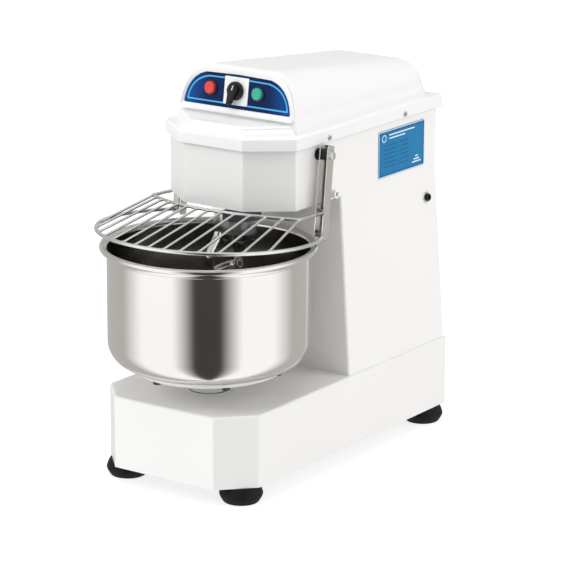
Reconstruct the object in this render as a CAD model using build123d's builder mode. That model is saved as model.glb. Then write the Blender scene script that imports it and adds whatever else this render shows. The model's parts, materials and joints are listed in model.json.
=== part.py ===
"""Spiral dough mixer: bench-height commercial mixer with a turning bowl and a spiral hook.

Frame: millimetres, +Z up, the floor at z = 0, +Y from the bowl towards the column, x = 0 the middle
of the machine. The origin is on the floor under the middle of the machine's bounding box.
"""
import os
from math import atan, atan2, cos, degrees, pi, radians, sin, sqrt, tan

from build123d import *

os.makedirs("parts", exist_ok=True)

# ---- driving dimensions -------------------------------------------------------------------------
sheet = 3.0                      # casing sheet thickness
foot_height = 36.0
base_half_width = 187.0
base_front = -345.0
base_rear = 414.0
base_top = 185.5
base_chamfer = (64.0, 67.0)      # across, along

column_foot_half_width = 184.0
column_top_half_width = 155.0
column_foot_front = 43.0
column_top_front = 49.0
rear_wall = 407.0

head_half_width = 156.2
head_front = -177.0
head_bottom = 561.0
head_top = 704.0
head_chamfer = (83.0, 66.0)

skirt_bottom = 685.0
skirt_top = 711.0
skirt_half_width = 164.2
skirt_front = -187.0
skirt_rear = 420.0
skirt_chamfer = (86.0, 69.0)
lid_wall = 3.0
neck_top = 738.0

dome_front_half_width = 149.0
dome_rear_half_width = 142.0
dome_front_top = 828.0
dome_rear_top = 785.0
dome_rear = 414.0
panel_tilt = 8.6                 # degrees back from upright
panel_foot = 742.0               # height of the bezel's lower edge
panel_face_y = -95.0             # dome front face at that height
bezel_depth = 4.0
fascia_depth = 2.5

bowl_y = -192.0
bowl_radius = 204.0
bowl_wall = 2.0
bowl_floor = 242.0
bowl_corner = 50.0
bead_radius = 5.9
hub_radius = 40.0
rim_top = 490.5

hook_y = -88.0
hook_rod = 12.0                  # radius of the spiral's bar
hook_turn_radius = 70.0          # radius of the spiral's centre line
hook_low = 270.0
spindle_radius = 20.0
breaker_radius = 9.0

layshaft_y = 95.0
layshaft_radius = 12.5
motor_y = 270.0
motor_radius = 75.0

chain_pitch = 12.7
spindle_teeth = 16
layshaft_upper_teeth = 48
layshaft_lower_teeth = 12
bowl_teeth = 54
upper_chain_z = 602.0
lower_chain_z = 158.0
spindle_pulley_pitch = 70.5
motor_pulley_pitch = 23.5
belt_levels = (638.0, 654.0)

pivot_y = -36.0
pivot_z = 664.0
pivot_radius = 6.0
running_gap = 0.06               # radial clearance of a turning fit
arm_inner = 167.0
arm_width = 20.0
arm_depth = 22.0
arm_foot = (-55.0, 496.0)        # y, z of the arm's lower end
ring_radius = 224.7
ring_rod = 3.8
ring_centre = (0.0, -191.5, 514.5)
ring_slope = 0.062               # rise towards the front
bar_rod = 2.5
bar_pitch = 32.5
bar_pairs = 7
rear_rod = 3.3
rear_rod_z = 552.0               # at its corners
rear_rod_rise = 11.0             # extra height of its middle
rear_rod_middle_y = -210.0
rear_rod_corner = (180.0, -135.0)

control_x = (-66.5, -4.0, 49.5)  # stop button, selector, start button
control_z = 781.0
button_radius = 12.6


def save(part, label):
    """Name a finished piece and write it."""
    part.label = label
    export_step(part, f"parts/{label}.step")


def plan_outline(z, half_width, front, rear, chamfer, corner=5.0):
    """Closed plan with cut-off front corners, every corner rounded."""
    with BuildSketch(Plane.XY.offset(z)) as plan:
        with BuildLine():
            Polyline(
                (-half_width + chamfer[0], front),
                (half_width - chamfer[0], front),
                (half_width, front + chamfer[1]),
                (half_width, rear),
                (-half_width, rear),
                (-half_width, front + chamfer[1]),
                close=True,
            )
        make_face()
        fillet(plan.vertices(), corner)
    return plan.sketch


def round_rod(start, end, radius):
    """Straight round bar between two points."""
    with BuildPart() as rod:
        direction = Vector(*end) - Vector(*start)
        with BuildSketch(Plane(origin=start, z_dir=direction)):
            Circle(radius)
        extrude(amount=direction.length)
    return rod.part


def loop_sketch(z, first_y, first_radius, second_y, second_radius):
    """Outline of a taut loop round two circles on the machine's centre line."""
    with BuildSketch(Plane.XY.offset(z)) as loop:
        with Locations((0, first_y)):
            Circle(first_radius)
        with Locations((0, second_y)):
            Circle(second_radius)
        make_hull()
    return loop.sketch


def sprocket_radius(teeth):
    """Pitch radius of a chain wheel."""
    return chain_pitch / 2 / sin(pi / teeth)


def add_sprocket(teeth, centre_y, z_middle, thickness=7.0):
    """Toothed disc added to the part under construction, its bore still to be cut."""
    pitch_radius = sprocket_radius(teeth)
    with BuildSketch(Plane.XY.offset(z_middle - thickness / 2)) as disc:
        with Locations((0, centre_y)):
            Circle(pitch_radius + 3.5)
            with PolarLocations(pitch_radius, teeth, start_angle=180 / teeth):
                Circle(3.9, mode=Mode.SUBTRACT)
    return extrude(disc.sketch, amount=thickness)


# ---- base ---------------------------------------------------------------------------------------
with BuildPart() as base_casing:
    extrude(
        plan_outline(foot_height, base_half_width, base_front, base_rear, base_chamfer, 7),
        amount=base_top - foot_height,
    )
    fillet(base_casing.faces().sort_by(Axis.Z)[-1].edges(), 5)
    extrude(
        plan_outline(
            foot_height,
            base_half_width - sheet,
            base_front + sheet,
            base_rear - sheet,
            base_chamfer,
        ),
        amount=base_top - foot_height - sheet,
        mode=Mode.SUBTRACT,
    )
    with BuildSketch(Plane.XY.offset(base_top)):
        with Locations((0, bowl_y)):
            Circle(hub_radius + 1.5)
        with Locations((0, (column_foot_front + rear_wall) / 2)):
            RectangleRounded(300, 320, 12)
    extrude(amount=-2 * sheet, mode=Mode.SUBTRACT)
save(base_casing.part, "base_casing")

floor_thickness = 6.0
foot_places = {
    "front_left": (-142, -278),
    "front_right": (142, -278),
    "rear_left": (-152, 375),
    "rear_right": (152, 375),
}
with BuildPart() as base_floor_plate:
    extrude(
        plan_outline(
            foot_height,
            base_half_width - sheet,
            base_front + sheet,
            base_rear - sheet,
            base_chamfer,
        ),
        amount=floor_thickness,
    )
    with BuildSketch(Plane.XY.offset(foot_height)):
        with Locations(*foot_places.values()):
            Circle(6)
    extrude(amount=floor_thickness, mode=Mode.SUBTRACT)
save(base_floor_plate.part, "base_floor_plate")

for place, (foot_x, foot_y) in foot_places.items():
    with BuildPart() as foot:
        with BuildSketch(Plane(origin=(foot_x, foot_y, 0), x_dir=(1, 0, 0), z_dir=(0, -1, 0))):
            with BuildLine():
                Polyline((14, 0), (35, 0), (38, 3), (43, 12), (44, 19), (42, 26), (35, foot_height))
                Polyline((35, foot_height), (6, foot_height), (6, 12), (14, 12), (14, 0))
            make_face()
        revolve(axis=Axis(origin=(foot_x, foot_y, 0), direction=(0, 0, 1)))
        fillet(foot.edges().filter_by(GeomType.CIRCLE).group_by(SortBy.RADIUS)[-1], 2)
    save(foot.part, f"foot_{place}")

with BuildPart() as foot_bolts:
    for foot_x, foot_y in foot_places.values():
        with Locations((foot_x, foot_y, 5)):
            Cylinder(12, 7, align=(Align.CENTER, Align.CENTER, Align.MIN))
        with Locations((foot_x, foot_y, 12)):
            Cylinder(5.8, 42, align=(Align.CENTER, Align.CENTER, Align.MIN))
        with BuildSketch(Plane.XY.offset(foot_height + floor_thickness)):
            with Locations((foot_x, foot_y)):
                RegularPolygon(11, 6)
        extrude(amount=10)
save(foot_bolts.part, "foot_bolts")

# ---- column -------------------------------------------------------------------------------------


def column_section(z, half_width, front, inset):
    """Rectangle of the column at one height."""
    with BuildSketch(Plane.XY.offset(z)) as section:
        with Locations((0, (front + rear_wall) / 2)):
            RectangleRounded(2 * (half_width - inset), rear_wall - front - 2 * inset, 6 - inset)
    return section.sketch


side_slope = atan((column_foot_half_width - column_top_half_width) / (head_bottom - base_top))
side_bolt_z = 497.0
side_bolt_y = 364.0
side_bolt_x = column_top_half_width + (head_bottom - side_bolt_z) * tan(side_slope)
side_planes = [
    Plane(
        origin=(side * side_bolt_x, side_bolt_y, side_bolt_z),
        z_dir=(side * cos(side_slope), 0, sin(side_slope)),
    )
    for side in (-1, 1)
]
cover_middle = 382.0
cover_size = (206.0, 300.0)
cover_plane = Plane(origin=(0, rear_wall, cover_middle), x_dir=(-1, 0, 0), z_dir=(0, 1, 0))
gland_plane = Plane(origin=(-70, rear_wall, base_top + 23), z_dir=(0, 1, 0))
cover_screw_spots = [(x, y) for x in (-95, 95) for y in (-140, 0, 140)]

with BuildPart() as column_casing:
    for inset, mode in ((0, Mode.ADD), (sheet, Mode.SUBTRACT)):
        loft(
            [
                column_section(base_top, column_foot_half_width, column_foot_front, inset),
                column_section(head_bottom, column_top_half_width, column_top_front, inset),
            ],
            mode=mode,
        )
    with BuildSketch(cover_plane):
        RectangleRounded(cover_size[0] - 40, cover_size[1] - 40, 8)
        with Locations(*cover_screw_spots):
            Circle(2.2)
    extrude(amount=-2 * sheet, mode=Mode.SUBTRACT)
    with BuildSketch(gland_plane):
        Circle(8.2)
    extrude(amount=-2 * sheet, mode=Mode.SUBTRACT)
    for side_plane in side_planes:
        with BuildSketch(side_plane):
            Circle(5)
        extrude(amount=-2 * sheet, mode=Mode.SUBTRACT)
save(column_casing.part, "column_casing")

with BuildPart() as column_side_bolts:
    for side_plane in side_planes:
        with BuildSketch(side_plane):
            Circle(11.5)
        extrude(amount=2)
        with BuildSketch(side_plane.offset(2)):
            Circle(8)
        extrude(amount=6)
        with BuildSketch(side_plane.offset(8)):
            RegularPolygon(4.5, 6)
        extrude(amount=-3, mode=Mode.SUBTRACT)
        with BuildSketch(side_plane):
            Circle(4.9)
        extrude(amount=-18)
save(column_side_bolts.part, "column_side_bolts")

with BuildPart() as rear_cover:
    with BuildSketch(cover_plane):
        RectangleRounded(*cover_size, 10)
    extrude(amount=2)
    fillet(rear_cover.faces().sort_by(Axis.Y)[-1].edges(), 0.8)
    with BuildSketch(cover_plane):
        with GridLocations(74, 14, 2, 9):
            SlotOverall(58, 5)
        with Locations(*cover_screw_spots):
            Circle(2.2)
    extrude(amount=4, mode=Mode.SUBTRACT)
save(rear_cover.part, "rear_cover")


def add_pan_screws(plane, spots, head_radius, head_height, shank_radius, shank_length):
    """Cross-recessed pan-head screws standing on a plane."""
    with BuildPart() as screws:
        for spot in spots:
            spot_plane = Plane(origin=plane.from_local_coords((*spot, 0)), x_dir=plane.x_dir,
                               z_dir=plane.z_dir)
            with BuildSketch(spot_plane):
                Circle(head_radius)
            extrude(amount=head_height, taper=18)
            with BuildSketch(spot_plane.offset(head_height)):
                Rectangle(head_radius * 1.1, head_radius * 0.22)
                Rectangle(head_radius * 0.22, head_radius * 1.1)
            extrude(amount=-head_height * 0.5, mode=Mode.SUBTRACT)
            with BuildSketch(spot_plane):
                Circle(shank_radius)
            extrude(amount=-shank_length)
    return screws.part


save(add_pan_screws(cover_plane.offset(2), cover_screw_spots, 4.5, 2.4, 2.2, 4), "rear_cover_screws")

# ---- head ---------------------------------------------------------------------------------------
pin_level = Plane(origin=(0, pivot_y, pivot_z), z_dir=(1, 0, 0))
breaker_top_y = -158.0
with BuildPart() as head_casing:
    extrude(
        plan_outline(head_bottom, head_half_width, head_front, rear_wall, head_chamfer, 7),
        amount=head_top - head_bottom,
    )
    extrude(
        plan_outline(
            head_bottom + sheet,
            head_half_width - sheet,
            head_front + sheet,
            rear_wall - sheet,
            head_chamfer,
        ),
        amount=head_top - head_bottom,
        mode=Mode.SUBTRACT,
    )
    with BuildSketch(Plane.XY.offset(head_bottom)):
        with Locations((0, (column_top_front + rear_wall) / 2)):
            RectangleRounded(292, 336, 10)
        with Locations((0, hook_y)):
            Circle(45.5)
        with Locations((0, breaker_top_y)):
            Circle(breaker_radius)
    extrude(amount=sheet, mode=Mode.SUBTRACT)
    with BuildSketch(pin_level):
        Circle(10)
    extrude(amount=200, both=True, mode=Mode.SUBTRACT)
save(head_casing.part, "head_casing")

drive_plate_low = head_bottom + sheet
drive_plate_high = drive_plate_low + 10
with BuildPart() as drive_plate:
    extrude(
        plan_outline(
            drive_plate_low,
            head_half_width - sheet - 0.5,
            head_front + sheet + 0.5,
            rear_wall - sheet - 0.5,
            head_chamfer,
        ),
        amount=drive_plate_high - drive_plate_low,
    )
    with BuildSketch(Plane.XY.offset(drive_plate_low)):
        with Locations((0, hook_y)):
            Circle(45)
        with Locations((0, layshaft_y)):
            Circle(26)
        with Locations((0, motor_y)):
            Circle(20)
        with Locations((0, breaker_top_y)):
            Circle(breaker_radius)
    extrude(amount=10, mode=Mode.SUBTRACT)
save(drive_plate.part, "drive_plate")

# ---- top cover ----------------------------------------------------------------------------------
tilt = radians(panel_tilt)
panel_base_y = panel_face_y - (panel_foot - skirt_top) * tan(tilt)


def panel_plane(offset=0.0):
    """Tilted plane of the dome's front, its local y = 0 at the top of the skirt."""
    plane = Plane(
        origin=(0, panel_base_y, skirt_top), x_dir=(1, 0, 0), z_dir=(0, -cos(tilt), sin(tilt))
    )
    return plane.offset(offset)


def up_panel(z):
    """Distance up the tilted panel for a height above the floor."""
    return (z - skirt_top) / cos(tilt)


def dome_section(plane, half_width, height, top_half_width, inset):
    """Cross-section of the dome: leaning sides, rounded shoulders and a flat top."""
    foot = half_width - inset
    waist = (half_width - 9 - inset, 0.27 * height)
    crown = (top_half_width, height - inset)
    with BuildSketch(plane) as section:
        with BuildLine():
            Line((-foot, -1), (foot, -1))
            Line((foot, -1), waist)
            Bezier(waist, (waist[0] - 3, 0.66 * height), (0.76 * waist[0] + 9, crown[1]), crown)
            Line(crown, (-crown[0], crown[1]))
            Bezier(
                (-crown[0], crown[1]),
                (-0.76 * waist[0] - 9, crown[1]),
                (3 - waist[0], 0.66 * height),
                (-waist[0], waist[1]),
            )
            Line((-waist[0], waist[1]), (-foot, -1))
        make_face()
    return section.sketch


def neck_section(z, half_flat, half_wide, front, shoulder, inset):
    """Plan of the stepped neck in front of the control panel."""
    with BuildSketch(Plane.XY.offset(z)) as section:
        with BuildLine():
            Polyline(
                (-half_flat + inset, front + inset),
                (half_flat - inset, front + inset),
                (half_wide - inset, shoulder + inset),
                (half_wide - inset, shoulder + 70 - inset),
                (-half_wide + inset, shoulder + 70 - inset),
                (-half_wide + inset, shoulder + inset),
                close=True,
            )
        make_face()
        fillet(section.vertices().group_by(Axis.Y)[0], 8)
    return section.sketch


dome_front_height = up_panel(dome_front_top)
window_x = (control_x[0] + control_x[2]) / 2
lid_screw_z = skirt_bottom + 8
rear_section_plane = Plane(origin=(0, dome_rear, skirt_top), x_dir=(1, 0, 0), z_dir=(0, -1, 0))
lid_screw_spots = [(y, lid_screw_z) for y in (-8.0, 270.0)]

with BuildPart() as top_cover:
    extrude(
        plan_outline(skirt_bottom, skirt_half_width, skirt_front, skirt_rear, skirt_chamfer, 9),
        amount=skirt_top - skirt_bottom,
    )
    fillet(top_cover.faces().sort_by(Axis.Z)[-1].edges(), 4)
    for inset, mode in ((0, Mode.ADD), (lid_wall, Mode.SUBTRACT)):
        loft(
            [
                neck_section(skirt_top - inset * 2, 74, 155, -183, -117, inset),
                neck_section(neck_top - inset, 65, 142, -165, -101, inset),
            ],
            mode=mode,
        )
        loft(
            [
                dome_section(panel_plane(-inset), dome_front_half_width, dome_front_height, 69, inset),
                dome_section(
                    rear_section_plane.offset(inset),
                    dome_rear_half_width,
                    dome_rear_top - skirt_top,
                    60,
                    inset,
                ),
            ],
            mode=mode,
        )
    extrude(
        plan_outline(
            skirt_bottom,
            skirt_half_width - lid_wall,
            skirt_front + lid_wall,
            skirt_rear - lid_wall,
            skirt_chamfer,
        ),
        amount=skirt_top - skirt_bottom - lid_wall,
        mode=Mode.SUBTRACT,
    )
    with BuildSketch(Plane.XY.offset(skirt_top - 2 * lid_wall)):
        with Locations((0, 130)):
            RectangleRounded(2 * dome_rear_half_width - 20, 450, 10)
    extrude(amount=3 * lid_wall, mode=Mode.SUBTRACT)
    with BuildSketch(panel_plane()):
        with Locations((window_x, up_panel(control_z))):
            RectangleRounded(162, 42, 6)
    extrude(amount=-2 * lid_wall, mode=Mode.SUBTRACT)
    with BuildSketch(Plane.YZ):
        with Locations(*lid_screw_spots):
            Circle(2.6)
    extrude(amount=skirt_half_width + 2, both=True, mode=Mode.SUBTRACT)
save(top_cover.part, "top_cover")

with BuildPart() as lid_screws:
    for side in (-1, 1):
        side_wall = Plane(
            origin=(side * skirt_half_width, 0, 0), x_dir=(0, side, 0), z_dir=(side, 0, 0)
        )
        spots = [(side * y, z) for y, z in lid_screw_spots]
        add(add_pan_screws(side_wall, spots, 5.5, 2.8, 2.5, 7))
save(lid_screws.part, "lid_screws")

# ---- control panel ------------------------------------------------------------------------------


def d_outline(plane, half_low, half_top, low, high, corner):
    """Wide D shape lying on its straight side, with rounded lower corners."""
    height = high - low
    with BuildSketch(plane) as outline:
        with BuildLine():
            Line((-half_low, low), (half_low, low))
            Bezier(
                (half_low, low),
                (half_low - 3, low + 0.5 * height),
                (0.76 * half_low + 9, high),
                (half_top, high),
            )
            Line((half_top, high), (-half_top, high))
            Bezier(
                (-half_top, high),
                (-0.76 * half_low - 9, high),
                (3 - half_low, low + 0.5 * height),
                (-half_low, low),
            )
        make_face()
        fillet(outline.vertices().group_by(Axis.Z)[0], corner)
    return outline.sketch


bezel_low = up_panel(panel_foot)
bezel_high = dome_front_height - 1
fascia_low = up_panel(panel_foot + 3)
fascia_high = up_panel(dome_front_top - 14)
control_up = up_panel(control_z)
sleeve_radius = 14.0
with BuildPart() as panel_bezel:
    extrude(d_outline(panel_plane(), 139.5, 69, bezel_low, bezel_high, 8), amount=bezel_depth)
    fillet(panel_bezel.faces().sort_by(Axis.Y)[0].outer_wire().edges(), 1.5)
    extrude(
        d_outline(panel_plane(), 131, 59, fascia_low, fascia_high, 3),
        amount=bezel_depth,
        mode=Mode.SUBTRACT,
    )
save(panel_bezel.part, "panel_bezel")

with BuildPart() as panel_fascia:
    extrude(d_outline(panel_plane(), 131, 59, fascia_low, fascia_high, 3), amount=fascia_depth)
    with BuildSketch(panel_plane()):
        with Locations((control_x[0], control_up), (control_x[2], control_up)):
            Circle(sleeve_radius + 0.1)
        with Locations((control_x[1], control_up)):
            Circle(4.4)
    extrude(amount=fascia_depth, mode=Mode.SUBTRACT)
save(panel_fascia.part, "panel_fascia")

plate_depth = 2.0
with BuildPart() as switch_plate:
    with BuildSketch(panel_plane(fascia_depth)):
        with Locations((control_x[1], control_up)):
            RectangleRounded(59, 56, 2)
            Circle(4.4, mode=Mode.SUBTRACT)
    extrude(amount=plate_depth)
    fillet(switch_plate.faces().sort_by(Axis.Y)[0].outer_wire().edges(), 0.7)
save(switch_plate.part, "switch_plate")

knob_foot = fascia_depth + plate_depth + 0.6
with BuildPart() as selector_knob:
    with BuildSketch(panel_plane(knob_foot)):
        with Locations((control_x[1], control_up)):
            Circle(19)
    extrude(amount=8)
    fillet(selector_knob.faces().sort_by(Axis.Y)[0].edges(), 2)
    with BuildSketch(panel_plane(knob_foot)):
        with Locations((control_x[1], control_up)):
            with Locations(Location((0, -4), 72)):
                SlotOverall(52, 13)
    extrude(amount=17)
    fillet(selector_knob.faces().sort_by(Axis.Y)[0].edges(), 2)
    with BuildSketch(panel_plane(knob_foot)):
        with Locations((control_x[1], control_up)):
            Circle(4)
    extrude(amount=-(knob_foot + 12))
save(selector_knob.part, "selector_knob")

block_front = -17.0
for name, spot_x in (("stop", control_x[0]), ("start", control_x[2])):
    with BuildPart() as button_ring:
        with BuildSketch(panel_plane(block_front)):
            with Locations((spot_x, control_up)):
                Circle(sleeve_radius)
        extrude(amount=fascia_depth - block_front)
        with BuildSketch(panel_plane(fascia_depth)):
            with Locations((spot_x, control_up)):
                Circle(15.6)
        extrude(amount=4)
        fillet(button_ring.faces().sort_by(Axis.Y)[0].edges(), 1.2)
        with BuildSketch(panel_plane(block_front)):
            with Locations((spot_x, control_up)):
                Circle(button_radius + 0.4)
        extrude(amount=40, mode=Mode.SUBTRACT)
    save(button_ring.part, f"{name}_button_ring")

    with BuildPart() as button:
        with BuildSketch(panel_plane(-10)):
            with Locations((spot_x, control_up)):
                Circle(button_radius)
        extrude(amount=10 + fascia_depth + 9)
        fillet(button.faces().sort_by(Axis.Y)[0].edges(), 3)
    save(button.part, f"{name}_button")

with BuildPart() as contact_blocks:
    with BuildSketch(panel_plane(block_front)):
        with Locations(*[(x, control_up) for x in control_x]):
            RectangleRounded(28, 32, 2)
    extrude(amount=-34)
    with BuildSketch(panel_plane()):
        with Locations((control_x[1], control_up)):
            Circle(8)
    extrude(amount=block_front)
    with BuildSketch(panel_plane()):
        with Locations((control_x[1], control_up)):
            Circle(4.4)
    extrude(amount=block_front, mode=Mode.SUBTRACT)
save(contact_blocks.part, "contact_blocks")

label_thickness = 1.2
label_y = 270.5
label_z = 618.0
with BuildPart() as side_label:
    label_plane = Plane(
        origin=(head_half_width, label_y, label_z), x_dir=(0, 1, 0), z_dir=(1, 0, 0)
    )
    with BuildSketch(label_plane):
        RectangleRounded(175, 98.5, 4)
    extrude(amount=label_thickness)
    fillet(side_label.faces().sort_by(Axis.X)[-1].edges(), 0.5)
save(side_label.part, "side_label")

# ---- bowl ---------------------------------------------------------------------------------------
bowl_axis = Axis(origin=(0, bowl_y, 0), direction=(0, 0, 1))
bowl_profile_plane = Plane(origin=(0, bowl_y, 0), x_dir=(1, 0, 0), z_dir=(0, -1, 0))
bead_centre = (bowl_radius + bowl_wall + 6.9, rim_top - bead_radius)
wall_top = rim_top - 9
with BuildPart() as bowl:
    with BuildSketch(bowl_profile_plane):
        with BuildLine():
            flat_end = bowl_radius - bowl_corner
            inner_corner = bowl_corner - bowl_wall
            diagonal = sin(radians(45))
            Line((0, bowl_floor), (flat_end, bowl_floor))
            ThreePointArc(
                (flat_end, bowl_floor),
                (
                    flat_end + bowl_corner * diagonal,
                    bowl_floor + bowl_corner * (1 - diagonal),
                ),
                (bowl_radius, bowl_floor + bowl_corner),
            )
            Line((bowl_radius, bowl_floor + bowl_corner), (bowl_radius, wall_top - 6))
            Line((bowl_radius, wall_top - 6), (bowl_radius + 6, wall_top))
            Line((bowl_radius + 6, wall_top), (bowl_radius + 6, wall_top + 3))
            Line((bowl_radius + 6, wall_top + 3), (bowl_radius - bowl_wall, wall_top + 3))
            Line(
                (bowl_radius - bowl_wall, wall_top + 3),
                (bowl_radius - bowl_wall, bowl_floor + bowl_corner),
            )
            ThreePointArc(
                (bowl_radius - bowl_wall, bowl_floor + bowl_corner),
                (
                    flat_end + inner_corner * diagonal,
                    bowl_floor + bowl_wall + inner_corner * (1 - diagonal),
                ),
                (flat_end, bowl_floor + bowl_wall),
            )
            Line((flat_end, bowl_floor + bowl_wall), (0, bowl_floor + bowl_wall))
            Line((0, bowl_floor + bowl_wall), (0, bowl_floor))
        make_face()
    revolve(axis=bowl_axis)
    with BuildSketch(bowl_profile_plane):
        with Locations(bead_centre):
            Circle(bead_radius)
    revolve(axis=bowl_axis)
save(bowl.part, "bowl")

carrier_thickness = 10.0
carrier_low = bowl_floor - carrier_thickness
carrier_radius = 153.0
carrier_bolt_circle = 142.0
with BuildPart() as bowl_carrier:
    with BuildSketch(Plane.XY.offset(carrier_low)):
        with Locations((0, bowl_y)):
            Circle(carrier_radius)
    extrude(amount=carrier_thickness)
    with BuildSketch(Plane.XY.offset(base_top + 2.5)):
        with Locations((0, bowl_y)):
            Circle(hub_radius)
    extrude(amount=carrier_low - base_top - 2.5, taper=0)
    fillet(bowl_carrier.edges().filter_by(GeomType.CIRCLE).group_by(Axis.Z)[-2], 3)
    with BuildSketch(Plane.XY.offset(base_top)):
        with Locations((0, bowl_y)):
            Circle(17.5)
    extrude(amount=carrier_low - base_top + 4, mode=Mode.SUBTRACT)
    with BuildSketch(Plane.XY.offset(carrier_low)):
        with Locations((0, bowl_y)):
            with PolarLocations(carrier_bolt_circle, 6, start_angle=20):
                Circle(5)
    extrude(amount=carrier_thickness, mode=Mode.SUBTRACT)
save(bowl_carrier.part, "bowl_carrier")

with BuildPart() as carrier_bolts:
    with BuildSketch(Plane.XY.offset(carrier_low)):
        with Locations((0, bowl_y)):
            with PolarLocations(carrier_bolt_circle, 6, start_angle=20):
                RegularPolygon(9, 6)
    extrude(amount=-6)
    with BuildSketch(Plane.XY.offset(carrier_low)):
        with Locations((0, bowl_y)):
            with PolarLocations(carrier_bolt_circle, 6, start_angle=20):
                Circle(5)
    extrude(amount=carrier_thickness)
save(carrier_bolts.part, "carrier_bolts")

shaft_low = 54.0
bowl_shaft_radius = 17.5
with BuildPart() as bowl_shaft:
    with Locations((0, bowl_y, shaft_low)):
        Cylinder(
            bowl_shaft_radius,
            carrier_low + 4 - shaft_low,
            align=(Align.CENTER, Align.CENTER, Align.MIN),
        )
save(bowl_shaft.part, "bowl_shaft")

with BuildPart() as bowl_sprocket:
    add(add_sprocket(bowl_teeth, bowl_y, lower_chain_z))
    with BuildSketch(Plane.XY.offset(lower_chain_z - 11)):
        with Locations((0, bowl_y)):
            Circle(32)
    extrude(amount=22)
    with BuildSketch(Plane.XY.offset(lower_chain_z - 20)):
        with Locations((0, bowl_y)):
            Circle(bowl_shaft_radius)
            with PolarLocations(68, 6):
                Circle(20)
    extrude(amount=40, mode=Mode.SUBTRACT)
save(bowl_sprocket.part, "bowl_sprocket")

stand_top = 140.0
floor_level = foot_height + floor_thickness
stand_data = ((bowl_y, bowl_shaft_radius, 36.0, 78.0), (layshaft_y, layshaft_radius, 28.0, 50.0))
with BuildPart() as bearing_stands:
    for stand_y, shaft_radius, tube_radius, flange_radius in stand_data:
        with BuildSketch(Plane.XY.offset(floor_level)):
            with Locations((0, stand_y)):
                Circle(flange_radius)
        extrude(amount=10)
        with BuildSketch(Plane.XY.offset(floor_level)):
            with Locations((0, stand_y)):
                Circle(tube_radius)
        extrude(amount=stand_top - floor_level)
        with BuildSketch(Plane.XY.offset(floor_level)):
            with Locations((0, stand_y)):
                Circle(shaft_radius + running_gap)
        extrude(amount=stand_top - floor_level, mode=Mode.SUBTRACT)
save(bearing_stands.part, "bearing_stands")

# ---- spindle and hook ---------------------------------------------------------------------------
housing_low = 522.0
housing_high = 592.0
hook_flange_top = 492.0
spindle_flange_top = 504.0
spindle_top = 682.0
with BuildPart() as spindle_housing:
    with BuildSketch(Plane.XY.offset(housing_low)):
        with Locations((0, hook_y)):
            Circle(45)
    extrude(amount=housing_high - housing_low)
    with BuildSketch(Plane.XY.offset(drive_plate_high)):
        with Locations((0, hook_y)):
            Circle(60)
    extrude(amount=10)
    with BuildSketch(Plane.XY.offset(housing_low)):
        with Locations((0, hook_y)):
            Circle(40)
    extrude(amount=housing_high - housing_low, mode=Mode.SUBTRACT)
save(spindle_housing.part, "spindle_housing")

bearing_rings = (
    (hook_y, spindle_radius, 40.0, housing_low, 20.0),
    (hook_y, spindle_radius, 40.0, housing_high - 20, 20.0),
    (layshaft_y, layshaft_radius, 26.0, drive_plate_low, 14.0),
)
with BuildPart() as bearings:
    for ring_y, shaft_radius, outer_radius, low, height in bearing_rings:
        with BuildSketch(Plane.XY.offset(low)):
            with Locations((0, ring_y)):
                Circle(outer_radius)
                Circle(shaft_radius + running_gap, mode=Mode.SUBTRACT)
        extrude(amount=height)
save(bearings.part, "bearings")

with BuildPart() as spindle:
    with BuildSketch(Plane.XY.offset(hook_flange_top)):
        with Locations((0, hook_y)):
            Circle(35)
    extrude(amount=spindle_flange_top - hook_flange_top)
    with BuildSketch(Plane.XY.offset(spindle_flange_top)):
        with Locations((0, hook_y)):
            Circle(spindle_radius)
    extrude(amount=spindle_top - spindle_flange_top)
    with BuildSketch(Plane.XY.offset(hook_flange_top)):
        with Locations((0, hook_y)):
            with PolarLocations(27, 4, start_angle=45):
                Circle(4)
    extrude(amount=spindle_flange_top - hook_flange_top, mode=Mode.SUBTRACT)
save(spindle.part, "spindle")

hook_flange_low = 480.0
helix_turns = 1.35
helix_steps = 18
helix_high = 400.0
hook_points = [(0, hook_y, hook_flange_low), (0, hook_y, helix_high + 40)]
for step in range(helix_steps + 1):
    share = step / helix_steps
    angle = radians(150) + share * helix_turns * 2 * pi
    level = helix_high + share * (hook_low - helix_high)
    hook_points.append(
        (hook_turn_radius * cos(angle), hook_y + hook_turn_radius * sin(angle), level)
    )


def bend_radii(points, share=0.45):
    """Largest arcs that the straight runs of a bent bar leave room for."""
    radii = []
    for before, corner, after in zip(points, points[1:], points[2:]):
        run_in = Vector(*corner) - Vector(*before)
        run_out = Vector(*after) - Vector(*corner)
        turn = radians(run_in.get_angle(run_out))
        radii.append(share * min(run_in.length, run_out.length) / tan(turn / 2))
    return radii


with BuildPart() as spiral_hook:
    with BuildLine() as hook_line:
        FilletPolyline(*hook_points, radius=bend_radii(hook_points))
    with BuildSketch(Plane(origin=hook_points[0], z_dir=(0, 0, -1))):
        Circle(hook_rod)
    sweep(path=hook_line.line)
    with BuildSketch(Plane.XY.offset(hook_flange_low)):
        with Locations((0, hook_y)):
            Circle(35)
    extrude(amount=hook_flange_top - hook_flange_low)
    with BuildSketch(Plane.XY.offset(hook_flange_low)):
        with Locations((0, hook_y)):
            with PolarLocations(27, 4, start_angle=45):
                Circle(4)
    extrude(amount=hook_flange_top - hook_flange_low, mode=Mode.SUBTRACT)
    fillet(spiral_hook.faces().sort_by(Axis.Z)[-1].outer_wire().edges(), 1)
save(spiral_hook.part, "spiral_hook")

with BuildPart() as hook_flange_bolts:
    with BuildSketch(Plane.XY.offset(hook_flange_low)):
        with Locations((0, hook_y)):
            with PolarLocations(27, 4, start_angle=45):
                RegularPolygon(6.5, 6)
    extrude(amount=-6)
    with BuildSketch(Plane.XY.offset(hook_flange_low)):
        with Locations((0, hook_y)):
            with PolarLocations(27, 4, start_angle=45):
                Circle(4)
    extrude(amount=spindle_flange_top - hook_flange_low)
save(hook_flange_bolts.part, "hook_flange_bolts")

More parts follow.
